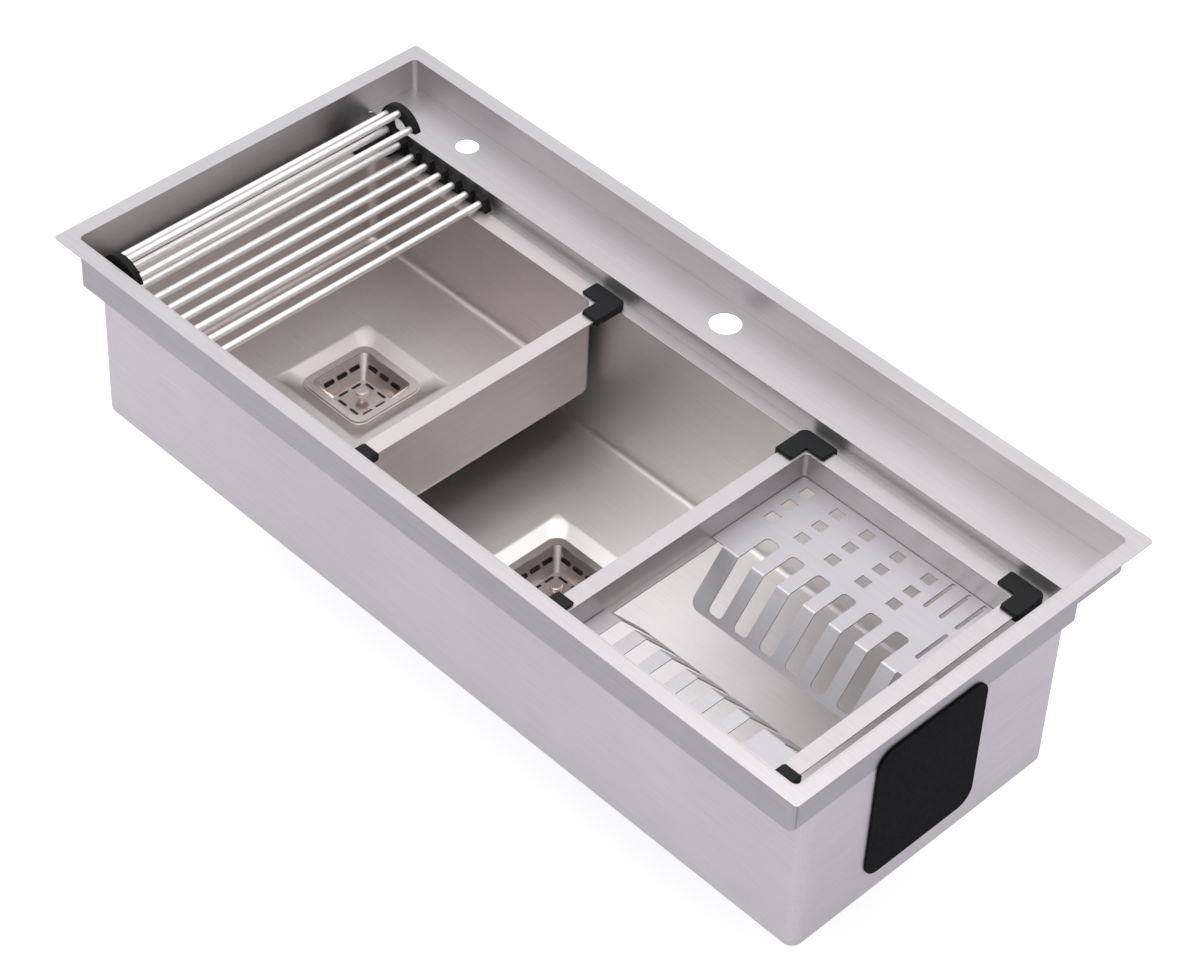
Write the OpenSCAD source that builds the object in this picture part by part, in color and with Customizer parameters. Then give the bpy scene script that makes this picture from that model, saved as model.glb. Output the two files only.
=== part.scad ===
// Long single-bowl workstation sink that is mounted on top of a worktop. A hanging basin, a roll-up rod
// mat and a dish rack rest on its front and back ledges and slide along them.
// Millimetres. The origin is the centre of the rim on the worktop's surface. +X runs to the right along
// the rim, +Y towards the tap deck at the back, +Z up.

/* [Rim] */
// Length of the rim, left to right
rim_l = 1050; // [980:5:1200]
// Width of the rim, front to back
rim_w = 500; // [485:5:540]
// Thickness of the sink's sheet
sheet = 1.5; // [1:0.1:2]
// Gap left along the joints between two pieces of sheet
seam = 0.1; // [0.05:0.05:0.2]
// Width of the flange that lies on the worktop
flange_w = 18; // [14:1:22]
// Radius of the rim's outer corners
rim_r = 4; // [2:1:8]
// Radius of the tray's upright corners, inside
tray_r = 6; // [3:1:9]

/* [Tap deck] */
// Width of the tap deck, front to back
deck_w = 65; // [58:1:76]
// Drop from the rim's top to the deck
deck_drop = 38; // [26:1:46]
// Diameter of the tap hole, in the middle of the deck
tap_d = 35; // [28:1:38]
// Diameter of the dispenser hole, to the left of it
dispenser_d = 26; // [20:1:32]
// Distance between the centres of the two holes
hole_gap = 391; // [200:1:420]
// Distance from the tray's back wall to the centres of the holes
hole_setback = 29; // [24:1:34]

/* [Ledges] */
// Drop from the rim's top to the ledges
ledge_drop = 60; // [54:1:70]
// Width of the front ledge
front_ledge_w = 22; // [18:1:26]
// Width of the back ledge
back_ledge_w = 15; // [13:1:20]

/* [Bowl] */
// Depth from the rim's top to the bowl's floor
bowl_depth = 250; // [235:5:280]
// Radius of the bowl's upright corners, inside
bowl_r = 12; // [8:1:20]
// Radius between the bowl's walls and floor, inside
bowl_fillet = 8; // [4:1:12]

/* [Drain recess] */
// Width of the stamped square recess at the floor
recess_w = 124; // [118:1:136]
// Width of the flat seat at the bottom of the recess
seat_w = 102; // [98:1:110]
// Depth of the recess
recess_drop = 7; // [5:0.5:10]
// Radius of the recess's corners
recess_r = 18; // [12:1:24]
// Width of the flat margin that belongs to the stamped part
recess_margin = 5; // [3:1:8]

/* [Drain] */
// Width of the drain cup, outside, where it passes through the recess
cup_w = 85; // [82:1:88]
// Width of the drain cup's floor, outside
cup_floor_w = 62; // [58:1:66]
// Depth of the drain cup below its flange
cup_drop = 42; // [36:1:55]
// Width of the drain cup's flange
cup_flange_w = 96; // [92:1:97]
// Wall of the drain cup
cup_t = 1.5; // [1:0.1:2]
// Clearance between the drain cup and the hole it passes through
cup_clear = 0.5; // [0.3:0.1:1]
// Outer diameter of the threaded spigot under the cup
spigot_d = 52; // [48:1:54]
// Length of the spigot
spigot_l = 30; // [28:1:40]
// Thickness of the rubber gasket under the recess
gasket_t = 3; // [2:0.5:5]
// Width of the gasket and of the clamp's top
clamp_w = 112; // [106:1:118]
// Wall of the clamp
clamp_t = 3; // [2:0.5:4]
// Height of the lock nut
lock_nut_h = 8; // [6:1:10]
// Outer diameter of the lock nut
lock_nut_d = 70; // [66:1:80]
// Height of the coupling nut
tail_nut_h = 16; // [14:1:20]
// Outer diameter of the coupling nut
tail_nut_d = 62; // [59:1:68]
// Outer diameter of the tailpiece
pipe_d = 40; // [36:1:42]
// Outer diameter of the tailpiece's collar, inside the coupling nut
collar_d = 44; // [43:0.5:46]
// Wall of the tailpiece
pipe_t = 1.5; // [1.2:0.1:3]
// Length of the tailpiece below its flange
pipe_l = 60; // [45:1:90]

/* [Strainer baskets] */
// Width of a basket's rim
basket_rim_w = 92; // [88:1:94]
// Width of a basket under its rim, outside
basket_w = 79; // [74:1:80]
// Width of a basket's floor, outside
basket_floor_w = 48; // [44:1:54]
// Depth of a basket below its rim
basket_drop = 22; // [18:1:28]
// Thickness of a basket's sheet
basket_t = 1.2; // [0.8:0.1:1.5]
// Radius of a basket's corners
basket_r = 9; // [6:1:12]
// Width of a basket's slots
basket_slot_w = 3.4; // [2.4:0.2:4]
// Diameter of a basket's knob
knob_d = 14; // [11:1:18]
// Height of a basket's knob above its floor
knob_h = 13; // [11:1:17]
// Clearance under each part that rests loosely on another
rest_gap = 0.2; // [0.1:0.05:0.3]

/* [Sound pads] */
// Thickness of the rubber pads
pad_t = 3; // [2:0.5:5]
// Width of an end pad, front to back
end_pad_w = 153; // [120:1:200]
// Height of an end pad
end_pad_h = 172; // [130:2:178]
// Drop from the rim's top to an end pad's top edge
end_pad_drop = 46; // [40:1:60]
// Distance from the bowl's middle to the end pads' middle, towards the front
end_pad_shift = 13; // [0:1:18]
// Radius of the pads' corners
pad_r = 20; // [8:1:30]
// Length of each floor pad, left to right
floor_pad_l = 300; // [200:10:340]
// Width of the floor pads, front to back
floor_pad_w = 230; // [150:10:280]
// Distance from the bowl's centre to each floor pad
floor_pad_gap = 110; // [90:5:130]

/* [Carrier frames] */
// Width of the flange around the basin and the rack
bar_w = 20; // [17:1:24]
// Thickness of that flange
bar_t = 2; // [1.5:0.1:2.4]
// Thickness of the basin's and the rack's walls
carrier_t = 1.5; // [1:0.1:2]
// Radius of the flange's outer corners
carrier_r = 6; // [3:1:8]
// Clearance between the corner caps and the tray's walls
cap_clear = 5; // [1:0.5:7]
// How far a corner cap stands proud of the flange
cap_proud = 4.5; // [3:0.5:6]
// Length of a corner cap's legs
cap_leg = 45; // [40:1:48]
// Width of a corner cap's legs
cap_leg_w = 22; // [19:1:23]
// Thickness of a corner cap under the flange
cap_sole = 2.2; // [1.5:0.1:3]
// Thickness of a corner cap over the flange
cap_cover = 3.5; // [2:0.1:4]
// Radius of a corner cap's outer corner
cap_r = 9; // [6:1:12]
// Clearance between a corner cap and the flange in it
cap_fit = 0.1; // [0.05:0.05:0.2]

/* [Hanging basin] */
// Length of the basin's flange, left to right
basin_l = 384; // [360:2:420]
// Gap between the tray's left wall and the basin's flange
basin_gap = 17; // [8:1:40]
// Depth of the basin, from its flange's top to its floor
basin_depth = 121; // [100:1:140]
// Radius of the basin's upright corners, inside
basin_r = 12; // [8:1:20]
// Radius between the basin's walls and floor, inside
basin_fillet = 8; // [4:1:12]
// Width of the hole in the basin's recess
basin_hole_w = 86; // [83:1:89]
// Depth of the seat ring's collar through that hole
ring_drop = 9; // [5:1:14]

/* [Roll-up mat] */
// Diameter of the mat's rods
rod_d = 8; // [6:0.5:10]
// Distance between the rods
rod_pitch = 21.5; // [19:0.5:24]
// Distance from the basin's left edge to the first flat rod
mat_start = 43; // [40:1:60]
// Height of the mat's end strips
strip_h = 15; // [12:0.5:17]
// Width of the mat's end strips, along the rods
strip_w = 8; // [8:1:14]
// How far the mat overhangs the basin's flange at each end
mat_overhang = 4; // [1:0.5:6]
// Depth of the rods' seats in the end strips
rod_seat = 6; // [4:1:7]
// Gap between two neighbouring links of a strip at their foot
link_gap = 0.6; // [0.4:0.1:1]
// Slant of the links' sides, which lets the mat roll up
link_slant = 17; // [15:1:20]
// Where the rolled-up strip ends, in degrees above the horizontal
roll_end = 17; // [14:1:24]

/* [Dish rack] */
// Length of the rack's flange, left to right
rack_l = 311; // [280:1:340]
// Gap between the rack's flange and the tray's right wall
rack_gap = 38; // [12:1:60]
// Depth from the flange's top to the plates
rack_drop = 31; // [24:1:40]
// Width of the lip that carries the plates
lip_w = 7; // [5:1:10]
// Radius of the rack's upright corners, inside
rack_r = 5; // [3:1:8]
// Thickness of the slotted plates
plate_t = 1.5; // [1:0.1:2]
// Clearance between the plates and the rack's walls
plate_clear = 0.5; // [0.3:0.1:1]
// Width of the back plate's flat part, front to back
back_flat = 133; // [120:1:150]
// Fall of the back plate's slope
back_fall = 52.5; // [40:0.5:70]
// Angle of the back plate's slope below the horizontal
back_slope = 50; // [45:1:70]
// Distance from the lip to the back slope's left end
back_inset = 9.5; // [1:0.5:16]
// Distance from the back slope's left end to its first slot's centre
back_first = 30; // [18:1:36]
// Width of the front plate's flat part, front to back
front_flat = 62; // [50:1:70]
// Fall of the front plate's slope
front_fall = 52.5; // [30:0.5:60]
// Angle of the front plate's slope below the horizontal
front_slope = 50; // [45:1:70]
// Distance from the lip to the front slope's left end
front_inset = 1; // [1:0.5:8]
// Distance from the front slope's left end to its first slot's centre
front_first = 22; // [18:1:36]
// Length of the slopes, left to right
slope_l = 230; // [222:1:238]
// Radius of the slopes' lower corners
slope_r = 12; // [6:1:16]
// Width of the plate slots
slot_w = 18; // [12:0.5:20]
// Radius of the plate slots' corners
slot_r = 5; // [2:0.5:5.5]
// Distance from the plate slots to the slopes' lower edges
slot_margin = 6.5; // [4:0.5:12]
// Distance between the plate slots
slot_pitch = 34.4; // [30:0.2:34.4]
// Number of plate slots
slot_count = 6; // [4:1:6]
// Radius of the plates' folds, inside
fold_in_r = 2; // [1:0.5:4]
// How far the back plate's slots run into its flat part
slot_back_run = 42; // [20:1:50]
// How far the front plate's slots run into its flat part
slot_front_run = 36; // [15:1:40]
// Width of the square holes in the back plate
hole_w = 13; // [8:1:16]
// Distance between the rows of square holes, front to back
hole_row = 25.2; // [20:0.2:26]
// Distance between the columns of square holes
hole_col = 40.8; // [34:0.2:41.2]
// Width of the thin slots in the back plate
thin_w = 4.5; // [3:0.5:6]
// Length of the thin slots
thin_l = 46; // [30:1:50]
// Distance between the thin slots
thin_pitch = 20.5; // [12:0.5:22]
// Distance from the back plate's right edge to the nearest thin slot
thin_inset = 24; // [16:1:28]

/* [Hidden] */
$fn = 48;
EPS = 0.01;

tray_l = rim_l - 2 * flange_w;
tray_front = flange_w - rim_w / 2;
tray_back = rim_w / 2 - flange_w;
riser_y = tray_back - deck_w;
bowl_front = tray_front + front_ledge_w;
bowl_back = riser_y - back_ledge_w;
bowl_w = bowl_back - bowl_front;
bowl_y = (bowl_front + bowl_back) / 2;
deck_z = sheet - deck_drop;
ledge_z = sheet - ledge_drop;
floor_z = sheet - bowl_depth;
hole_y = tray_back - hole_setback;
bowl_floor_r = min(bowl_fillet, bowl_r - 1);
bowl_dish_h = bowl_floor_r + 2 * sheet;

recess_floor = -recess_drop;
cup_top = floor_z + recess_floor + cup_t;
cup_floor = cup_top - cup_t - cup_drop;
gasket_top = floor_z + recess_floor - sheet;
clamp_top = gasket_top - gasket_t;
clamp_floor = cup_floor - 4;
spigot_end = cup_floor - spigot_l;
lock_nut_top = clamp_floor - clamp_t;
tail_flange_t = 2;
tail_nut_bottom = spigot_end - tail_flange_t - clamp_t;

carrier_w = riser_y - tray_front - 2 * (cap_clear + cap_proud);
carrier_y = (riser_y + tray_front) / 2;
bar_z = ledge_z + rest_gap + cap_sole + cap_fit;
bar_top = bar_z + bar_t;
cap_h = cap_sole + bar_t + cap_cover + 2 * cap_fit;
cap_top = ledge_z + rest_gap + cap_h;

basin_x = basin_gap - tray_l / 2 + basin_l / 2;
basin_in_l = basin_l - 2 * bar_w;
basin_in_w = carrier_w - 2 * bar_w;
basin_floor = bar_top - basin_depth;
basin_floor_r = min(basin_fillet, basin_r - 1);
basin_dish_h = basin_floor_r + 2 * carrier_t;

strip_foot = bar_top + rest_gap;
mat_l = carrier_w + 2 * mat_overhang;
first_rod_x = basin_x - basin_l / 2 + mat_start;
roll_r = rod_pitch + strip_h / 2;
roll_z = max(cap_top, bar_top) + rest_gap + roll_r;
first_hinge_x = first_rod_x + rod_pitch / 2;
ROLL_RODS = [-90, -150, -210, -270, -330];

rack_x = tray_l / 2 - rack_gap - rack_l / 2;
rack_in_l = rack_l - 2 * bar_w;
rack_in_w = carrier_w - 2 * bar_w;
plate_top = bar_top - rack_drop;
plate_l = rack_in_l - 2 * plate_clear;
plate_back = carrier_y + rack_in_w / 2 - plate_clear;
plate_front = carrier_y - rack_in_w / 2 + plate_clear;
back_slope_x = rack_x - rack_in_l / 2 + lip_w + back_inset;
front_slope_x = rack_x - rack_in_l / 2 + lip_w + front_inset;

// Rectangle with rounded corners, centred
module plan(l, w, r) {
    square([l - 2 * r, w], center = true);
    square([l, w - 2 * r], center = true);
    for (x = [-1, 1], y = [-1, 1]) translate([x * (l / 2 - r), y * (w / 2 - r)]) circle(r);
}

// Rectangle with rounded corners between two values of y, centred on x
module plan_between(l, y0, y1, r) {
    translate([0, (y0 + y1) / 2]) plan(l, y1 - y0, r);
}

// Rectangle from y = 0 to y = w, centred on x, whose corners at y = 0 are rounded
module tongue(l, w, r) {
    translate([r - l / 2, 0]) square([l - 2 * r, w]);
    translate([-l / 2, r]) square([l, w - r]);
    for (x = [-1, 1]) translate([x * (l / 2 - r), r]) circle(r);
}

// Plate of that outline from height z upwards, or a wall or ring of it where a second outline is cut out
module plate(z, h) {
    translate([0, 0, z]) linear_extrude(h) children();
}

// Gaps at 45 degrees through the corners of a ring, where its four sides meet; the ring's inside is given
module mitres(l, y0, y1, reach) {
    for (x = [-1, 1], y = [-1, 1]) translate([x * l / 2, (y0 + y1 + y * (y1 - y0)) / 2])
        rotate(x * y * 45) square([2 * reach, seam], center = true);
}

// Upright sheet round a rectangle, in four sides with mitred corners
module wall_ring(l, y0, y1, r, t, z, h) {
    plate(z, h) difference() {
        plan_between(l + 2 * t, y0 - t, y1 + t, r + t);
        plan_between(l, y0, y1, r);
        mitres(l, y0, y1, 2 * r);
    }
}

// Straight gaps that divide a pan into its flat sides, its corners and its floor
module pan_seams(l, w, r) {
    for (side = [-1, 1]) {
        translate([side * (l / 2 - r), 0]) square([seam, 2 * w], center = true);
        translate([0, side * (w / 2 - r)]) square([2 * l, seam], center = true);
    }
}

// Gaps between the floor's flat parts and the part of it that is stamped into the drain recess
module recess_seams(w) {
    side = recess_w + 2 * recess_margin;
    for (k = [-1, 1]) {
        translate([k * side / 2, 0]) square([seam, w], center = true);
        translate([0, k * side / 2]) square([side, seam], center = true);
    }
}

// Upright walls of a pan, above its dish
module pan_walls(l, w, z, h, r, t) {
    plate(z, h) difference() {
        plan(l + 2 * t, w + 2 * t, r + t);
        plan(l, w, r);
        pan_seams(l, w, r);
    }
}

// Section of a wall with its fillet and a strip of floor, measured from the axis of an upright corner
module wall_section(h, r, fillet, t) {
    translate([0, -t]) square([r - fillet, t]);
    translate([r, fillet]) square([t, h - fillet]);
    translate([r - fillet, fillet]) intersection() {
        difference() {
            circle(fillet + t);
            circle(fillet);
        }
        translate([0, -fillet - t]) square(fillet + t);
    }
}

// Shallow dish of sheet: its inner size, height, corner radius, floor fillet and thickness
module dish(l, w, h, r, fillet, t) {
    translate([r - l / 2, r - w / 2, -t]) cube([l - 2 * r, w - 2 * r, t]);
    for (side = [[0, l, w], [90, w, l], [180, l, w], [270, w, l]])
        rotate(side[0]) translate([side[1] / 2 - r, 0, 0]) rotate([90, 0, 0])
            linear_extrude(side[2] - 2 * r, center = true) wall_section(h, r, fillet, t);
    for (corner = [[1, 1, 0], [-1, 1, 90], [-1, -1, 180], [1, -1, 270]])
        translate([corner[0] * (l / 2 - r), corner[1] * (w / 2 - r), 0]) rotate(corner[2])
            rotate_extrude(angle = 90) wall_section(h, r, fillet, t);
}

// Square funnel that narrows downwards from z = 0
module funnel(top_w, floor_w, h, r) {
    mirror([0, 0, 1]) linear_extrude(h, scale = floor_w / top_w) plan(top_w, top_w, r);
}

// Floor of a pan: a dish with the stamped drain recess and the hole in its seat
module pan_floor(l, w, h, r, fillet, t, hole_w) {
    difference() {
        union() {
            dish(l, w, h, r, fillet, t);
            funnel(recess_w + 2 * t, seat_w + 2 * t, recess_drop + t, recess_r + t);
        }
        translate([0, 0, EPS]) funnel(recess_w, seat_w, recess_drop + EPS, recess_r);
        plate(-recess_drop - 2 * t, 2 * t) plan(hole_w, hole_w, basket_r + 2);
        plate(-2 * t, 2 * h) {
            pan_seams(l, w, r);
            recess_seams(w - 2 * r);
        }
    }
}

// Slot with round ends, its centre line along y from y0 to y1
module slot(w, y0, y1) {
    translate([-w / 2, y0 + w / 2]) square([w, y1 - y0 - w]);
    for (y = [y0 + w / 2, y1 - w / 2]) translate([0, y]) circle(w / 2);
}

module rim_flange() {
    color("gainsboro") plate(0, sheet) difference() {
        plan(rim_l, rim_w, rim_r);
        plan(tray_l + 2 * sheet, tray_back - tray_front + 2 * sheet, tray_r + sheet);
        mitres(tray_l, tray_front, tray_back, 2 * flange_w);
    }
}

// Walls from the rim's top to the deck, and below them the walls and the riser down to the ledges
module tray_walls() {
    color("gainsboro") {
        wall_ring(tray_l, tray_front, tray_back, tray_r, sheet, deck_z - sheet, 2 * sheet - deck_z);
        wall_ring(tray_l, tray_front, riser_y, tray_r, sheet, ledge_z - sheet, deck_z - ledge_z - seam);
    }
}

module tap_deck() {
    color("gainsboro") difference() {
        translate([0, tray_back, 0]) mirror([0, 1, 0])
            plate(deck_z - sheet, sheet) tongue(tray_l, deck_w, tray_r);
        translate([0, hole_y, deck_z - 2 * sheet]) cylinder(d = tap_d, h = 3 * sheet);
        translate([-hole_gap, hole_y, deck_z - 2 * sheet]) cylinder(d = dispenser_d, h = 3 * sheet);
    }
}

// Front and back ledges, and the small webs in the corners between the tray and the bowl
module ledges() {
    color("gainsboro") plate(ledge_z - sheet, sheet) {
        translate([0, tray_front]) tongue(tray_l, front_ledge_w - seam, tray_r);
        translate([0, riser_y]) mirror([0, 1]) tongue(tray_l, back_ledge_w - seam, tray_r);
        for (x = [0, 1], y = [0, 1]) translate([0, bowl_y]) mirror([x, 0]) mirror([0, y])
            translate([-tray_l / 2, -bowl_w / 2]) difference() {
                square(bowl_r);
                translate([bowl_r, bowl_r]) circle(bowl_r);
            }
    }
}

module bowl_walls() {
    wall_h = ledge_z - sheet - floor_z;
    color("silver") translate([0, bowl_y, floor_z])
        pan_walls(tray_l, bowl_w, bowl_dish_h, wall_h - bowl_dish_h, bowl_r, sheet);
}

module bowl_floor() {
    color("silver") translate([0, bowl_y, floor_z])
        pan_floor(tray_l, bowl_w, bowl_dish_h, bowl_r, bowl_floor_r, sheet, cup_w + 2 * cup_clear);
}

module end_pad(side) {
    pad_y = bowl_y - end_pad_shift;
    pad_z = sheet - end_pad_drop - end_pad_h / 2;
    color("black") translate([side * (tray_l / 2 + sheet + pad_t / 2), pad_y, pad_z]) rotate([90, 0, 90])
        linear_extrude(pad_t, center = true) plan(end_pad_w, end_pad_h, pad_r);
}

module floor_pads() {
    color("black") for (side = [-1, 1])
        translate([side * (floor_pad_gap + floor_pad_l / 2), bowl_y, floor_z - sheet - pad_t])
            linear_extrude(pad_t) plan(floor_pad_l, floor_pad_w, pad_r);
}

module drain_cup() {
    neck = recess_drop + cup_t;
    color("silver") translate([0, bowl_y, 0]) difference() {
        union() {
            plate(cup_top - cup_t, cup_t) plan(cup_flange_w, cup_flange_w, basket_r + 6);
            translate([0, 0, cup_top - neck])
                funnel(cup_w, cup_floor_w, cup_drop - neck + cup_t, basket_r + 1.5);
            plate(cup_top - neck, neck) plan(cup_w, cup_w, basket_r + 1.5);
            translate([0, 0, spigot_end]) cylinder(d = spigot_d, h = spigot_l + EPS);
        }
        plate(cup_top - neck, 2 * neck) plan(cup_w - 2 * cup_t, cup_w - 2 * cup_t, basket_r);
        translate([0, 0, cup_top - neck + EPS])
            funnel(cup_w - 2 * cup_t, cup_floor_w - 2 * cup_t, cup_drop - neck + EPS, basket_r);
        translate([0, 0, spigot_end - EPS]) cylinder(d = spigot_d - 4 * cup_t, h = spigot_l + 4 * cup_t);
    }
}

module drain_gasket() {
    color("black") translate([0, bowl_y, 0]) plate(clamp_top, gasket_t) difference() {
        plan(clamp_w, clamp_w, recess_r);
        plan(cup_w + 2 * cup_clear, cup_w + 2 * cup_clear, basket_r + 2);
    }
}

module drain_clamp() {
    inner_w = cup_w + 4 * cup_clear;
    inner_floor_w = cup_floor_w + 2 * clamp_t;
    fall = clamp_top - clamp_floor;
    color("dimgray") translate([0, bowl_y, 0]) difference() {
        union() {
            plate(clamp_top - clamp_t, clamp_t) plan(clamp_w, clamp_w, recess_r);
            translate([0, 0, clamp_top]) funnel(
                inner_w + 2 * clamp_t, inner_floor_w + 2 * clamp_t, fall + clamp_t, recess_r - clamp_t
            );
        }
        translate([0, 0, clamp_top + EPS]) funnel(inner_w, inner_floor_w, fall, basket_r + 2);
        translate([0, 0, clamp_floor - 2 * clamp_t]) cylinder(d = spigot_d + 2 * cup_clear, h = 4 * clamp_t);
    }
}

// Nut with gripping lugs around it
module lugged_nut(outer_d, h) {
    cylinder(d = outer_d - 6, h = h);
    for (k = [0:7]) rotate(45 * k) translate([outer_d / 2 - 5, -4, 0]) cube([5, 8, h]);
}

module lock_nut() {
    color("dimgray") translate([0, bowl_y, lock_nut_top - lock_nut_h]) difference() {
        lugged_nut(lock_nut_d, lock_nut_h);
        translate([0, 0, -EPS]) cylinder(d = spigot_d, h = lock_nut_h + 2 * EPS);
    }
}

module tail_nut() {
    color("dimgray") translate([0, bowl_y, tail_nut_bottom]) difference() {
        lugged_nut(tail_nut_d, tail_nut_h);
        translate([0, 0, -EPS]) cylinder(d = collar_d + 2 * cup_clear, h = tail_nut_h + 2 * EPS);
        translate([0, 0, clamp_t]) cylinder(d = spigot_d, h = tail_nut_h);
    }
}

module tailpiece() {
    collar_h = clamp_t + 1;
    color("silver") translate([0, bowl_y, spigot_end - tail_flange_t]) difference() {
        union() {
            translate([0, 0, -pipe_l]) cylinder(d = pipe_d, h = pipe_l);
            translate([0, 0, -collar_h]) cylinder(d = collar_d, h = collar_h);
            cylinder(d = spigot_d - 2, h = tail_flange_t);
        }
        translate([0, 0, -pipe_l - EPS]) cylinder(d = pipe_d - 2 * pipe_t, h = pipe_l + 2 * tail_flange_t);
    }
}

// Strainer basket, the underside of its rim at z = 0
module strainer() {
    inner_w = basket_w - 2 * basket_t;
    floor_in_w = basket_floor_w - 2 * basket_t;
    wall_mid = (basket_w + basket_floor_w) / 4;
    side_slot = basket_w / 5.5;
    color("silver") difference() {
        union() {
            plate(0, basket_t) plan(basket_rim_w, basket_rim_w, basket_r + 4);
            funnel(basket_w, basket_floor_w, basket_drop, basket_r);
        }
        translate([0, 0, EPS])
            funnel(inner_w, floor_in_w, basket_drop - basket_t + EPS, basket_r - basket_t);
        plate(0, 2 * basket_t) plan(inner_w, inner_w, basket_r - basket_t);
        for (k = [0:3]) rotate(90 * k) {
            for (y = [-1, 0, 1]) translate([wall_mid, y * (side_slot + 3.6), -basket_drop])
                linear_extrude(basket_drop) slot(basket_slot_w, -side_slot / 2, side_slot / 2);
            for (y = [-1, 1])
                translate([floor_in_w / 2 - basket_slot_w, y * floor_in_w / 5, -basket_drop - basket_t])
                    linear_extrude(3 * basket_t) slot(basket_slot_w, -floor_in_w / 7, floor_in_w / 7);
        }
    }
}

// Turned knob on its post, from the basket's floor up
module knob() {
    stem_r = knob_d / 5;
    cap_t = knob_d / 3;
    color("gray") translate([0, 0, basket_t - basket_drop]) rotate_extrude() {
        square([knob_d / 3, 1]);
        square([stem_r, knob_h - cap_t]);
        translate([0, knob_h - cap_t]) square([knob_d / 2, cap_t - 1]);
        translate([0, knob_h - 1]) square([knob_d / 2 - 1, 1]);
        translate([knob_d / 2 - 1, knob_h - 1]) intersection() {
            circle(1);
            square(1);
        }
    }
}

module at_main_drain() {
    translate([0, bowl_y, cup_top + rest_gap]) children();
}

module drain_basket() {
    at_main_drain() strainer();
}

module drain_basket_knob() {
    at_main_drain() knob();
}

// Flange of a carrier with its inner edge cut out
module carrier_flange(l, inner_r) {
    plate(bar_z, bar_t) difference() {
        plan(l, carrier_w, carrier_r);
        plan(l - 2 * bar_w, carrier_w - 2 * bar_w, inner_r);
        mitres(l - 2 * bar_w, bar_w - carrier_w / 2, carrier_w / 2 - bar_w, 2 * bar_w);
    }
}

// Outline of a corner cap: its outer corner at the origin, its legs along +x and +y
module cap_outline() {
    difference() {
        union() {
            translate([cap_r, 0]) square([cap_leg - cap_r - 2, cap_leg_w]);
            translate([cap_r, 1]) square([cap_leg - cap_r, cap_leg_w - 2]);
            translate([0, cap_r]) square([cap_leg_w, cap_leg - cap_r - 2]);
            translate([1, cap_r]) square([cap_leg_w - 2, cap_leg - cap_r]);
            translate([cap_r, cap_r]) circle(cap_r);
        }
        translate([cap_leg_w, cap_leg_w]) square(cap_leg);
    }
}

// The four corner caps of a carrier, each with a groove for the flange
module caps(l) {
    corner_x = l / 2 + cap_proud;
    corner_y = carrier_w / 2 + cap_proud;
    groove_z = bar_z - cap_fit;
    color("black") difference() {
        for (x = [0, 1], y = [0, 1]) mirror([x, 0, 0]) mirror([0, y, 0])
            translate([-corner_x, -corner_y, ledge_z + rest_gap]) {
                linear_extrude(cap_h - 1) cap_outline();
                translate([1, 1, 0]) linear_extrude(cap_h)
                    scale([(cap_leg - 2) / cap_leg, (cap_leg - 2) / cap_leg]) cap_outline();
            }
        plate(groove_z, bar_t + 2 * cap_fit)
            plan(l + 2 * cap_fit, carrier_w + 2 * cap_fit, carrier_r + cap_fit);
    }
}

module basin_flange() {
    color("lightgray") translate([basin_x, carrier_y, 0]) carrier_flange(basin_l, basin_r);
}

module basin_walls() {
    wall_h = bar_z - basin_floor;
    color("lightgray") translate([basin_x, carrier_y, basin_floor])
        pan_walls(basin_in_l, basin_in_w, basin_dish_h, wall_h - basin_dish_h, basin_r, carrier_t);
}

module basin_pan_floor() {
    color("lightgray") translate([basin_x, carrier_y, basin_floor])
        pan_floor(basin_in_l, basin_in_w, basin_dish_h, basin_r, basin_floor_r, carrier_t, basin_hole_w);
}

module basin_caps() {
    translate([basin_x, carrier_y, 0]) caps(basin_l);
}

// Seat ring in the basin's recess: a flange with a collar through the hole
module basin_drain_ring() {
    seat_z = basin_floor - recess_drop;
    color("silver") translate([basin_x, carrier_y, 0]) difference() {
        union() {
            plate(seat_z, cup_t) plan(cup_flange_w, cup_flange_w, basket_r + 6);
            plate(seat_z - ring_drop, ring_drop + cup_t)
                plan(basin_hole_w - 2 * cup_clear, basin_hole_w - 2 * cup_clear, basket_r + 1.5);
        }
        plate(seat_z - 2 * ring_drop, 4 * ring_drop)
            plan(basin_hole_w - 2 * (cup_clear + cup_t), basin_hole_w - 2 * (cup_clear + cup_t), basket_r);
    }
}

module at_basin_drain() {
    translate([basin_x, carrier_y, basin_floor - recess_drop + cup_t + rest_gap]) children();
}

module basin_strainer() {
    at_basin_drain() strainer();
}

module basin_strainer_knob() {
    at_basin_drain() knob();
}

// Rod of the mat, along y, at a place in the x-z plane
module rod(x, z) {
    rod_l = mat_l - 2 * (strip_w - rod_seat);
    translate([x, carrier_y, z]) rotate([90, 0, 0]) cylinder(d = rod_d, h = rod_l, center = true);
}

// Both end strips of the mat, for a section in the x-z plane, with the seats of the rods cut out
module strips() {
    difference() {
        for (end = [-1, 1])
            translate([0, carrier_y + end * (mat_l - strip_w) / 2, 0]) rotate([90, 0, 0])
                linear_extrude(strip_w, center = true) children(0);
        children(1);
    }
}

// Section of one link, its hinge at the left foot
module link_section() {
    lean = strip_h * tan(link_slant);
    translate([first_hinge_x, strip_foot]) polygon([
        [link_gap / 2, 0],
        [rod_pitch - link_gap / 2, 0],
        [rod_pitch - link_gap / 2 - lean, strip_h],
        [link_gap / 2 + lean, strip_h]
    ]);
}

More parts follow.
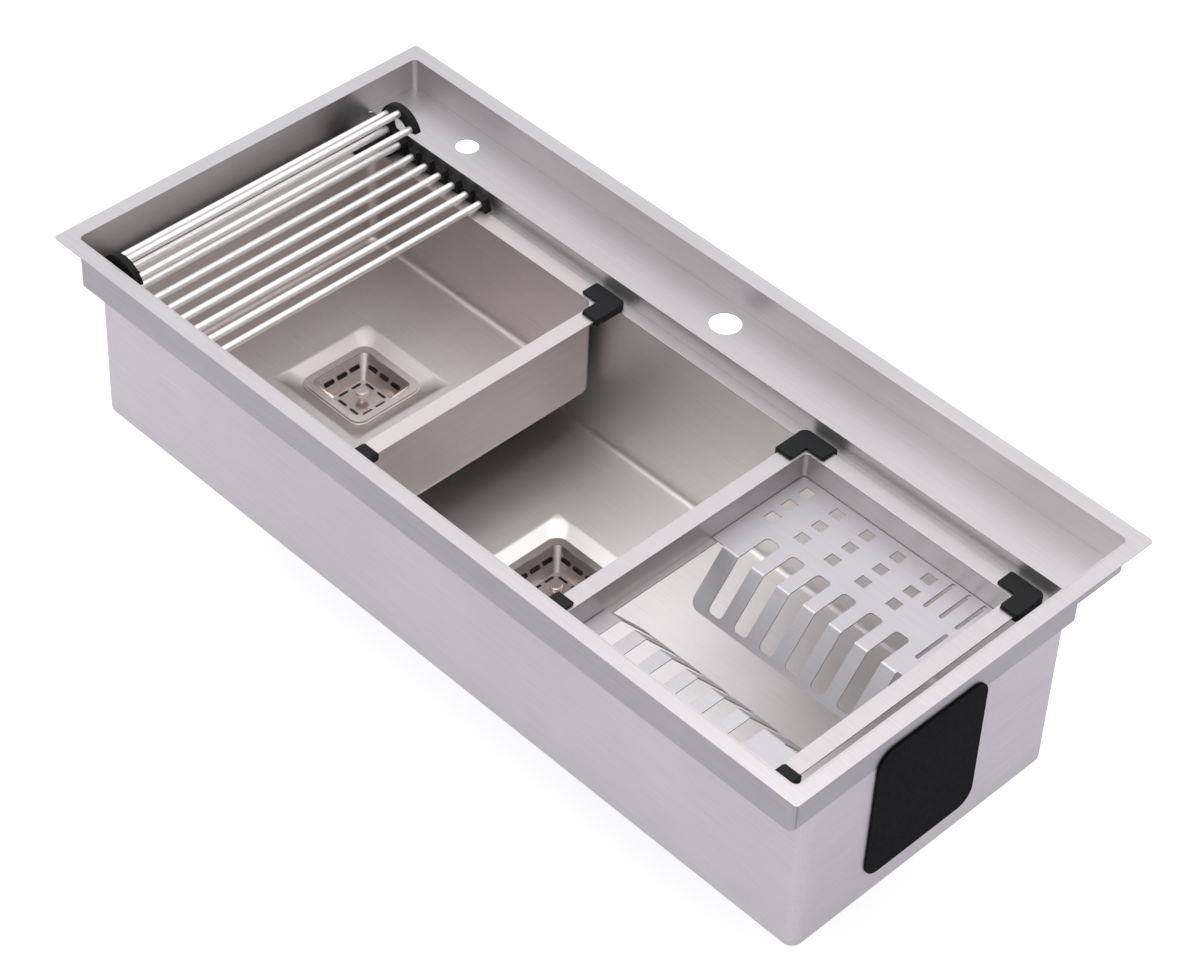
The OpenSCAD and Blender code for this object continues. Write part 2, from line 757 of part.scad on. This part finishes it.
// Section of the rolled-up strip: a ring open at the right, and the foot that leads to the first hinge
module roll_section() {
    lean = strip_h * tan(link_slant);
    reach = 2 * roll_r;
    translate([first_rod_x, roll_z]) difference() {
        circle(roll_r);
        circle(roll_r - strip_h);
        polygon([[0, 0], [0, -reach], [reach, -reach], [reach, reach * tan(roll_end)]]);
    }
    polygon([
        [first_rod_x, roll_z - roll_r],
        [first_hinge_x - link_gap / 2, strip_foot],
        [first_hinge_x - link_gap / 2 - lean, strip_foot + strip_h],
        [first_rod_x, roll_z - roll_r + strip_h]
    ]);
}

module roll_rods() {
    for (a = ROLL_RODS) rod(first_rod_x + rod_pitch * cos(a), roll_z + rod_pitch * sin(a));
}

module mat_roll_rods() {
    color("whitesmoke") roll_rods();
}

module mat_roll_strips() {
    color("black") strips() {
        roll_section();
        roll_rods();
    }
}

module flat_rod(k) {
    rod(first_rod_x + k * rod_pitch, strip_foot + strip_h / 2);
}

module mat_rod(k) {
    color("whitesmoke") flat_rod(k);
}

module mat_link(k) {
    color("black") strips() {
        translate([(k - 1) * rod_pitch, 0]) link_section();
        flat_rod(k);
    }
}

module rack_flange() {
    color("gainsboro") translate([rack_x, carrier_y, 0]) carrier_flange(rack_l, rack_r);
}

// The rack's walls and the lip at their foot that carries the plates
module rack_frame() {
    lip_z = plate_top - plate_t - rest_gap - carrier_t;
    wall_z = lip_z + carrier_t + seam;
    edge = rack_in_w / 2;
    color("gainsboro") translate([rack_x, carrier_y, 0]) {
        wall_ring(rack_in_l, -edge, edge, rack_r, carrier_t, wall_z, bar_z - wall_z);
        plate(lip_z, carrier_t) difference() {
            plan(rack_in_l + 2 * carrier_t, rack_in_w + 2 * carrier_t, rack_r + carrier_t);
            plan(rack_in_l - 2 * lip_w, rack_in_w - 2 * lip_w, rack_r);
            mitres(rack_in_l, -edge, edge, 2 * (lip_w + rack_r));
        }
    }
}

// Section of a slope and its fold, from the middle of the fold's radius; it starts in the flat part
module slope_section(length, slope) {
    fold_r = fold_in_r + plate_t;
    down = length * [cos(slope), -sin(slope)];
    turns = [for (k = [0:6]) slope * k / 6];
    polygon(concat(
        [[-plate_t, fold_in_r], [-plate_t, fold_r]],
        [for (a = turns) fold_r * [sin(a), cos(a)]],
        [fold_r * [sin(slope), cos(slope)] + down, fold_in_r * [sin(slope), cos(slope)] + down],
        [for (a = turns) fold_in_r * [sin(slope - a), cos(slope - a)]]
    ));
}

// The plate slots, from y0 to y1, the first at x = first
module plate_slots(w, first, y0, y1) {
    for (k = [0:slot_count - 1]) translate([first + k * slot_pitch, 0]) plan_between(w, y0, y1, slot_r);
}

// Plate with a slotted slope that hangs from its fold. The outer edge is at y = 0 and the fold at y = flat.
// The slope starts at x = left, its slots at x = first. They run on into the flat part, a hair wider there
module folded_plate(left, first, flat, fall, slope, run) {
    slope_w = fall / sin(slope);
    fold_r = fold_in_r + plate_t;
    setback = fold_r * tan(slope / 2);
    translate([0, 0, plate_top - plate_t]) linear_extrude(plate_t) difference() {
        translate([rack_x, 0]) tongue(plate_l, flat - setback, rack_r);
        plate_slots(slot_w + 2 * seam, first, flat - run, flat + run);
        children();
    }
    difference() {
        translate([left, flat - setback, plate_top - fold_r]) rotate([90, 0, 90])
            linear_extrude(slope_l) slope_section(slope_w - setback, slope);
        translate([0, flat, plate_top]) rotate([-slope, 0, 0]) plate(-2 * fold_r, 4 * fold_r) {
            slope_corners(left, slope_w);
            plate_slots(slot_w, first, -run, slope_w - slot_margin);
        }
    }
}

// What is cut away outside the two rounded lower corners of a slope
module slope_corners(left, slope_w) {
    for (side = [[left, 0], [left + slope_l, 1]]) translate([side[0], slope_w]) mirror([side[1], 0])
        difference() {
            translate([-1, -slope_r]) square(slope_r + 1);
            translate([slope_r, -slope_r]) circle(slope_r);
        }
}

module rack_back_plate() {
    thin_x = rack_x + plate_l / 2 - thin_inset;
    hole_x = back_slope_x + 4;
    slot_x = back_slope_x + back_first;
    color("lightsteelblue") translate([0, plate_back, 0]) mirror([0, 1, 0])
        folded_plate(back_slope_x, slot_x, back_flat, back_fall, back_slope, slot_back_run) {
            for (col = [0:4], row = [0:2])
                translate([hole_x + col * hole_col, 16 + row * hole_row]) square(hole_w, center = true);
            for (k = [0:2]) translate([thin_x - k * thin_pitch, 0]) slot(thin_w, 2, 2 + thin_l);
            translate([thin_x, 0]) slot(thin_w, 13 + thin_l, 13 + 2 * thin_l);
        }
}

module rack_front_plate() {
    slot_x = front_slope_x + front_first;
    color("lightsteelblue") translate([0, plate_front, 0])
        folded_plate(front_slope_x, slot_x, front_flat, front_fall, front_slope, slot_front_run);
}

module rack_caps() {
    translate([rack_x, carrier_y, 0]) caps(rack_l);
}

rim_flange();
tray_walls();
tap_deck();
ledges();
bowl_walls();
bowl_floor();
end_pad(1);  // right_end_pad
end_pad(-1);  // left_end_pad
floor_pads();
drain_cup();
drain_gasket();
drain_clamp();
lock_nut();
tail_nut();
tailpiece();
drain_basket();
drain_basket_knob();
basin_flange();
basin_walls();
basin_pan_floor();  // basin_floor
basin_caps();
basin_drain_ring();
basin_strainer();
basin_strainer_knob();
mat_roll_rods();
mat_roll_strips();
mat_rod(1);  // mat_rod_1
mat_rod(2);  // mat_rod_2
mat_rod(3);  // mat_rod_3
mat_rod(4);  // mat_rod_4
mat_rod(5);  // mat_rod_5
mat_rod(6);  // mat_rod_6
mat_link(1);  // mat_link_1
mat_link(2);  // mat_link_2
mat_link(3);  // mat_link_3
mat_link(4);  // mat_link_4
mat_link(5);  // mat_link_5
mat_link(6);  // mat_link_6
rack_flange();
rack_frame();
rack_back_plate();
rack_front_plate();
rack_caps();
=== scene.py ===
from math import radians

import bpy
from mathutils import Matrix, Vector


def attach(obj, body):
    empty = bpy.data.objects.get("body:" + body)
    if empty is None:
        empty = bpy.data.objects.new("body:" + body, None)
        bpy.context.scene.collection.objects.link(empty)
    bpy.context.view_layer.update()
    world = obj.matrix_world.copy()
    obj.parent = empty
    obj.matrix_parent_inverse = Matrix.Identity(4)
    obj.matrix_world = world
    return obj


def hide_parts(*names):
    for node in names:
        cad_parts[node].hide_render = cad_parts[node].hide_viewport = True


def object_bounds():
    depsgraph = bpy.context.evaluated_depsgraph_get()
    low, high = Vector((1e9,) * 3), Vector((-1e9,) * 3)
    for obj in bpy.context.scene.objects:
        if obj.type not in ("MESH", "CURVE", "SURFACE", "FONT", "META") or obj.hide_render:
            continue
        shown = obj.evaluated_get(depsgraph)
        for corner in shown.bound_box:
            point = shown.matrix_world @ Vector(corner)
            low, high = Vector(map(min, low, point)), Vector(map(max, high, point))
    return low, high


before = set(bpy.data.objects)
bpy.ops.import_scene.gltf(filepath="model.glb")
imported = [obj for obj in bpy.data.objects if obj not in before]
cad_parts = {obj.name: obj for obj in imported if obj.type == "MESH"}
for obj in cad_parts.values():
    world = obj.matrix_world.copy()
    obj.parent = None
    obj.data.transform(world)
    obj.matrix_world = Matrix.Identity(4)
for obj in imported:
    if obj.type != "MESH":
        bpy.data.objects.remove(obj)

cad_low, cad_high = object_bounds()

# Rim and tray. On the real sink this is one sheet of 1.5 mm stainless steel, AISI 304, cut and folded into
# the flange, the tray walls, the tap deck and the two ledges. Its corners are welded and ground, and the
# whole is brushed to a satin finish, which shows as fine lines and a soft, even sheen.

MM = 0.001
SEAM_MM = 0.12  # a seam between two sheets that is narrower than this is closed
CREASE = radians(35)  # a fold sharper than this stays an edge
LEVEL = radians(0.5)  # faces that differ by less lie in one plane
NOISE_LOW, NOISE_HIGH = 0.3, 0.7  # nearly all of a noise pattern lies between these


def linear(hex_code):
    """An sRGB hex colour as the linear values that a shader takes"""
    parts = [int(hex_code[i:i + 2], 16) / 255 for i in (1, 3, 5)]
    return tuple(p / 12.92 if p <= 0.04045 else ((p + 0.055) / 1.055) ** 2.4 for p in parts) + (1.0,)


def add(tree, kind, inputs=None, **settings):
    """Adds a shader node, with its own settings and its inputs: a socket is linked, any other value is set"""
    made = tree.nodes.new(kind)
    for key, value in settings.items():
        setattr(made, key, value)
    for key, value in (inputs or {}).items():
        if isinstance(value, bpy.types.NodeSocket):
            tree.links.new(value, made.inputs[key])
        else:
            made.inputs[key].default_value = value
    return made


def new_material(name):
    """An empty material with its shader and output"""
    made = bpy.data.materials.new(name)
    made.use_nodes = True
    made.node_tree.nodes.clear()
    shader = add(made.node_tree, "ShaderNodeBsdfPrincipled")
    add(made.node_tree, "ShaderNodeOutputMaterial", {"Surface": shader.outputs[0]})
    return made, made.node_tree, shader


def brushed_stainless(name, light, dark, roughness, line_mm=1.2, run_mm=60, depth_mm=0.03):
    """Stainless steel brushed along its length. Real brush lines are 0.1 mm apart and wouldn't show, so they
    are drawn line_mm apart; each runs about run_mm. Walls that face left or right are brushed from front to
    back. Faint clouds lie over the lines, as on sheet that has been handled."""
    end_facing = 0.7  # a normal with more than this along X belongs to such a wall
    clouds_per_m = 7.0
    cloud_share = 0.45
    gloss_spread = 0.04
    made, tree, shader = new_material(name)
    place = add(tree, "ShaderNodeTexCoord").outputs["Object"]
    normal = add(tree, "ShaderNodeNewGeometry").outputs["Normal"]
    facing = add(tree, "ShaderNodeSeparateXYZ", {0: normal}).outputs["X"]
    sideways = add(tree, "ShaderNodeMath", {0: facing}, operation="ABSOLUTE").outputs[0]
    is_end = add(tree, "ShaderNodeMath", {0: sideways, 1: end_facing}, operation="GREATER_THAN").outputs[0]
    across, along = 1000 / line_mm, 1000 / run_mm
    lines = []
    for scale in ((along, across, across), (across, along, across)):
        spread = add(tree, "ShaderNodeMapping", {"Vector": place, "Scale": scale}).outputs[0]
        noise = add(tree, "ShaderNodeTexNoise", {"Vector": spread, "Scale": 1.0, "Detail": 2.0})
        lines.append(noise.outputs[0])
    line = add(tree, "ShaderNodeMix", {0: is_end, 2: lines[0], 3: lines[1]}).outputs[0]
    cloud = add(tree, "ShaderNodeTexNoise", {"Vector": place, "Scale": clouds_per_m, "Detail": 3.0})
    both = add(tree, "ShaderNodeMix", {0: cloud_share, 2: line, 3: cloud.outputs[0]}).outputs[0]
    tone = add(tree, "ShaderNodeValToRGB", {0: both})
    for stop, position, colour in zip(tone.color_ramp.elements, (NOISE_LOW, NOISE_HIGH), (dark, light)):
        stop.position = position
        stop.color = linear(colour)
    gloss = add(tree, "ShaderNodeMapRange", {0: both, 1: NOISE_LOW, 2: NOISE_HIGH,
                                             3: roughness + gloss_spread, 4: roughness - gloss_spread})
    bump = add(tree, "ShaderNodeBump", {"Height": line, "Strength": 1.0, "Distance": depth_mm * MM})
    tree.links.new(tone.outputs[0], shader.inputs["Base Color"])
    tree.links.new(gloss.outputs[0], shader.inputs["Roughness"])
    tree.links.new(bump.outputs[0], shader.inputs["Normal"])
    shader.inputs["Metallic"].default_value = 1.0
    return made


def finished(node, name, edge_mm, material, body, segments=2):
    """The finished piece that stands for a frame node: a merged copy of its mesh, with its material and body.
    A hair-wide seam between two sheets is closed, as on the ground weld of the real piece. With an
    edge_mm, what is left inside the closed seams goes, and a bevel of that width breaks the sharp edges."""
    bpy.ops.object.select_all(action="DESELECT")
    made = bpy.data.objects.new(name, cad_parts[node].data.copy())
    bpy.context.scene.collection.objects.link(made)
    made.select_set(True)
    bpy.context.view_layer.objects.active = made
    bpy.ops.mesh.customdata_custom_splitnormals_clear()
    bpy.ops.object.mode_set(mode="EDIT")
    bpy.ops.mesh.select_all(action="SELECT")
    bpy.ops.mesh.remove_doubles(threshold=SEAM_MM * MM)
    if edge_mm:
        bpy.ops.mesh.select_all(action="DESELECT")
        bpy.ops.mesh.select_mode(type="FACE")
        bpy.ops.mesh.select_interior_faces()
        bpy.ops.mesh.delete(type="FACE")
        bpy.ops.mesh.select_all(action="SELECT")
        bpy.ops.mesh.dissolve_limited(angle_limit=LEVEL)
    bpy.ops.mesh.normals_make_consistent(inside=False)
    bpy.ops.object.mode_set(mode="OBJECT")
    if edge_mm:
        rounding = made.modifiers.new("broken edges", "BEVEL")
        rounding.width = edge_mm * MM
        rounding.segments = segments
        rounding.limit_method = "ANGLE"
        rounding.angle_limit = CREASE
        bpy.ops.object.modifier_apply(modifier=rounding.name)
    bpy.ops.object.shade_smooth_by_angle(angle=CREASE)
    flat = made.modifiers.new("flat sheet stays flat", "WEIGHTED_NORMAL")
    flat.weight = 100
    flat.keep_sharp = True
    bpy.ops.object.modifier_apply(modifier=flat.name)
    made.data.materials.clear()
    made.data.materials.append(material)
    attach(made, body)
    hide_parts(node)


satin_sheet = brushed_stainless("brushed stainless sheet", "#CBC9C9", "#BEBCBC", 0.42)
for part, edge_mm in (("rim_flange", 0.3), ("tray_walls", 0), ("tap_deck", 0.3), ("ledges", 0.3)):
    finished(part, part + "_sheet", edge_mm, satin_sheet, "sink")

# Bowl. A second pan of the same sheet, folded and welded under the ledges, with the square recess for the
# drain stamped into its floor. The same satin brushing runs along its walls and floor. The steel is painted
# paler than the rim's, as painted light: the same steel, lightened for the light that reaches deeper into the
# bowl.

bowl_steel_painted_paler = brushed_stainless("brushed stainless bowl painted paler", "#EBE8E7", "#DFDCDB", 0.5)
for part in ("bowl_walls", "bowl_floor"):
    finished(part, part + "_sheet", 0, bowl_steel_painted_paler, "sink")

# Sound pads. Sheets of black bitumen rubber, die-cut with round corners and glued to the outside of the ends
# and the floor to deaden the sound of running water. Rubber is dull: near black, with a faint grain.


def dull_black(name, colour, roughness, grain_mm, depth_mm):
    """Black rubber or plastic with a moulded grain"""
    tone_low, tone_high = 0.75, 1.25
    gloss_spread = 0.06
    made, tree, shader = new_material(name)
    place = add(tree, "ShaderNodeTexCoord").outputs["Object"]
    noise = add(tree, "ShaderNodeTexNoise", {"Vector": place, "Scale": 1000 / grain_mm, "Detail": 3.0})
    grain = noise.outputs[0]
    tone = add(tree, "ShaderNodeMapRange", {0: grain, 1: NOISE_LOW, 2: NOISE_HIGH, 3: tone_low, 4: tone_high})
    base = add(tree, "ShaderNodeVectorMath", {0: linear(colour)[:3], "Scale": tone.outputs[0]},
               operation="SCALE")
    gloss = add(tree, "ShaderNodeMapRange", {0: grain, 1: NOISE_LOW, 2: NOISE_HIGH,
                                             3: roughness - gloss_spread, 4: roughness + gloss_spread})
    bump = add(tree, "ShaderNodeBump", {"Height": grain, "Strength": 1.0, "Distance": depth_mm * MM})
    shader.inputs["Specular IOR Level"].default_value = 0.25
    tree.links.new(base.outputs[0], shader.inputs["Base Color"])
    tree.links.new(gloss.outputs[0], shader.inputs["Roughness"])
    tree.links.new(bump.outputs[0], shader.inputs["Normal"])
    return made


pad_rubber = dull_black("bitumen rubber sheet", "#050506", 0.88, grain_mm=3.0, depth_mm=0.15)
for pad in ("right_end_pad", "left_end_pad", "floor_pads"):
    finished(pad, pad + "_sheet", 0.8, pad_rubber, "sink")

# Drain. A pressed stainless cup drops into the recess with its flange on the seat. From below, a rubber
# gasket, a moulded clamp and a lugged nut pull it tight, and a coupling nut holds the outlet pipe to its
# spigot. The polished pressings reflect more sharply than the sheet; the black mouldings have a low sheen.

polished_steel = brushed_stainless("polished stainless pressing", "#DAD2CD", "#CBC2BC", 0.25,
                                   line_mm=2.5, run_mm=9, depth_mm=0.01)
black_fitting = dull_black("moulded polypropylene", "#232427", 0.45, grain_mm=1.5, depth_mm=0.05)
finished("drain_cup", "drain_cup_pressing", 0.4, polished_steel, "sink")
finished("tailpiece", "outlet_pipe", 0.3, polished_steel, "sink")
finished("drain_gasket", "drain_seal", 0.5, pad_rubber, "sink")
for part in ("drain_clamp", "lock_nut", "tail_nut"):
    finished(part, part + "_moulding", 0.6, black_fitting, "sink")

# Strainer baskets. Each is pressed from 1.2 mm stainless sheet with a flat rim, four sloping slotted walls
# and a slotted floor, and is polished. A turned knob on a post lifts it out.

for basket in ("drain_basket", "basin_strainer"):
    finished(basket, basket + "_pressing", 0.25, polished_steel, basket)
    finished(basket + "_knob", basket + "_handle", 0.5, polished_steel, basket)

# Hanging basin. A shallower pan of brushed stainless sheet with a flat flange all round, which hangs from the
# ledges on four corner caps. A polished seat ring is pressed into the hole in its stamped recess.

basin_steel = brushed_stainless("brushed stainless basin", "#D3CDCB", "#C6C0BE", 0.46)
for part, edge_mm in (("basin_flange", 0.45), ("basin_walls", 0), ("basin_floor", 0)):
    finished(part, part + "_sheet", edge_mm, basin_steel, "basin")
finished("basin_drain_ring", "basin_seat_ring", 0.4, polished_steel, "basin")

# Corner caps. Glass-filled nylon mouldings pushed over the corners of the two carrier flanges, so that they
# glide quietly on the ledges. Black, with softly rounded edges and a fine spark-eroded grain.

nylon = dull_black("black moulded nylon", "#0A0B0D", 0.6, grain_mm=1.2, depth_mm=0.06)
finished("basin_caps", "basin_corner_caps", 0.9, nylon, "basin", segments=3)
finished("rack_caps", "rack_corner_caps", 0.9, nylon, "rack", segments=3)

# Roll-up mat. Satin stainless tubes of 8 mm, each with a soft white line of light, are pushed at both ends
# into dull black silicone strips. The strips are notched between the rods, which lets the mat roll up from
# one end, as it lies in the photograph.

ROD_EDGE_MM = 0.4
STRIP_EDGE_MM = 0.9
rod_steel = brushed_stainless("satin stainless tube", "#F8F6F5", "#F0EEEC", 0.52,
                              line_mm=1.0, run_mm=40, depth_mm=0.01)
silicone = dull_black("moulded silicone", "#0B0C0D", 0.66, grain_mm=2.0, depth_mm=0.05)
finished("mat_roll_rods", "rolled_rods", ROD_EDGE_MM, rod_steel, "mat_roll")
finished("mat_roll_strips", "rolled_strips", STRIP_EDGE_MM, silicone, "mat_roll", segments=3)
for k in range(1, 7):
    link = f"mat_{k}"
    finished(f"mat_rod_{k}", f"flat_rod_{k}", ROD_EDGE_MM, rod_steel, link)
    finished(f"mat_link_{k}", f"strip_link_{k}", STRIP_EDGE_MM, silicone, link, segments=3)

# Dish rack. A brushed stainless frame like the basin's, with short walls and a lip. Two slotted plates of
# thin satin sheet lie on the lip, laser-cut and then folded down, so that dinner plates stand in the slots of
# the two slopes.

rack_steel = brushed_stainless("brushed stainless frame", "#CCC8C8", "#BEBABA", 0.42)
plate_steel = brushed_stainless("satin stainless plate", "#C0BFC2", "#B5B4B7", 0.5)
for part, edge_mm in (("rack_flange", 0.45), ("rack_frame", 0)):
    finished(part, part + "_sheet", edge_mm, rack_steel, "rack")
for part in ("rack_back_plate", "rack_front_plate"):
    finished(part, part + "_sheet", 0.3, plate_steel, "rack")

# Studio. A plain white floor under the sink and a bright, even room of white screens, dimmer to the right, so
# that satin steel shades from white on top to grey on the walls that face right. Four slightly warm softboxes
# hang over it and reach into the bowl.

FLOOR_M = 14
FLOOR_GLOW = 0.75  # the floor shows as white as the backdrop, but lights the sink as grey paper does
bpy.ops.object.select_all(action="DESELECT")
bpy.ops.mesh.primitive_plane_add(size=FLOOR_M, location=(0, 0, cad_low[2]))
floor = bpy.context.active_object
floor.name = "studio_floor"
paper, tree, shader = new_material("white backdrop paper")
shader.inputs["Base Color"].default_value = linear("#C6C5CD")
shader.inputs["Roughness"].default_value = 0.95
shader.inputs["Emission Color"].default_value = linear("#FFFFFF")
is_seen = add(tree, "ShaderNodeLightPath").outputs["Is Camera Ray"]
glow = add(tree, "ShaderNodeMath", {0: is_seen, 1: FLOOR_GLOW}, operation="MULTIPLY")
tree.links.new(glow.outputs[0], shader.inputs["Emission Strength"])
floor.data.materials.append(paper)

LEFT_AIM, RIGHT_AIM = -0.6, 0.9  # between these the room's screens go over from left to right
LEFT_SCREEN, RIGHT_SCREEN = 1.1, 0.48
LOW_SCREEN, HIGH_SCREEN = 0.6, 1.5
world = bpy.data.worlds.new("studio room")
bpy.context.scene.world = world
world.use_nodes = True
tree = world.node_tree
tree.nodes.clear()
is_seen = add(tree, "ShaderNodeLightPath").outputs["Is Camera Ray"]
aim = add(tree, "ShaderNodeTexCoord").outputs["Generated"]
aim_parts = add(tree, "ShaderNodeSeparateXYZ", {0: aim}).outputs
side = add(tree, "ShaderNodeMapRange", {0: aim_parts["X"], 1: LEFT_AIM, 2: RIGHT_AIM,
                                        3: LEFT_SCREEN, 4: RIGHT_SCREEN})
height = add(tree, "ShaderNodeMapRange", {0: aim_parts["Z"], 1: 0.0, 2: 1.0, 3: LOW_SCREEN, 4: HIGH_SCREEN})
screens = add(tree, "ShaderNodeMath", {0: side.outputs[0], 1: height.outputs[0]}, operation="MULTIPLY")
room = add(tree, "ShaderNodeBackground", {"Color": linear("#F6F5FB"), "Strength": screens.outputs[0]})
backdrop = add(tree, "ShaderNodeBackground", {"Color": linear("#FFFFFF"), "Strength": 1.0})
seen = add(tree, "ShaderNodeMixShader", {0: is_seen, 1: room.outputs[0], 2: backdrop.outputs[0]})
add(tree, "ShaderNodeOutputWorld", {"Surface": seen.outputs[0]})


def softbox(name, place, aim_at, size, power):
    """A square studio lamp that points at a spot on the sink, all in metres and watts"""
    bpy.ops.object.light_add(type="AREA", location=place)
    lamp = bpy.context.active_object
    lamp.name = name
    lamp.data.size = size
    lamp.data.energy = power
    lamp.data.color = linear("#FFF9F5")[:3]
    lamp.rotation_euler = (Vector(aim_at) - Vector(place)).to_track_quat("-Z", "Y").to_euler()


softbox("key", (0.3, -0.7, 2.8), (0, 0, -0.1), 1.8, 26)
softbox("fill", (0.5, 1.2, 2.6), (0, 0, -0.1), 2.0, 8)
softbox("front", (-1.5, -2.3, 1.1), (0.3, 0, -0.1), 1.2, 4)
softbox("overhead", (0.1, -0.1, 1.9), (0.1, -0.02, -0.2), 0.9, 9)

# Camera. It stands as in the photograph, in front of the sink to its right and above it, on a long lens.
# The angles and the place come from a fit of the rim's corners, the ledges and the holes.

IMAGE_W, IMAGE_H = 1200, 968
FOCAL_PX = 3537.8
CENTRE_PX = (688.2, 462.5)
AZIMUTH, ELEVATION, ROLL = 41.61, 43.08, 4.43
PLACE_MM = (1812.8, -1879.0, 2345.1)
SENSOR_MM = 36
bpy.ops.object.camera_add(location=[v * MM for v in PLACE_MM])
camera = bpy.context.active_object
camera.name = "photo_camera"
turn = Matrix.Rotation(radians(AZIMUTH), 4, "Z") @ Matrix.Rotation(radians(90 - ELEVATION), 4, "X")
camera.rotation_euler = (turn @ Matrix.Rotation(radians(ROLL), 4, "Z")).to_euler()
camera.data.sensor_width = SENSOR_MM
camera.data.lens = SENSOR_MM * FOCAL_PX / IMAGE_W
camera.data.shift_x = (IMAGE_W / 2 - CENTRE_PX[0]) / IMAGE_W
camera.data.shift_y = (CENTRE_PX[1] - IMAGE_H / 2) / IMAGE_W
bpy.context.scene.camera = camera
bpy.context.scene.view_settings.view_transform = "Standard"
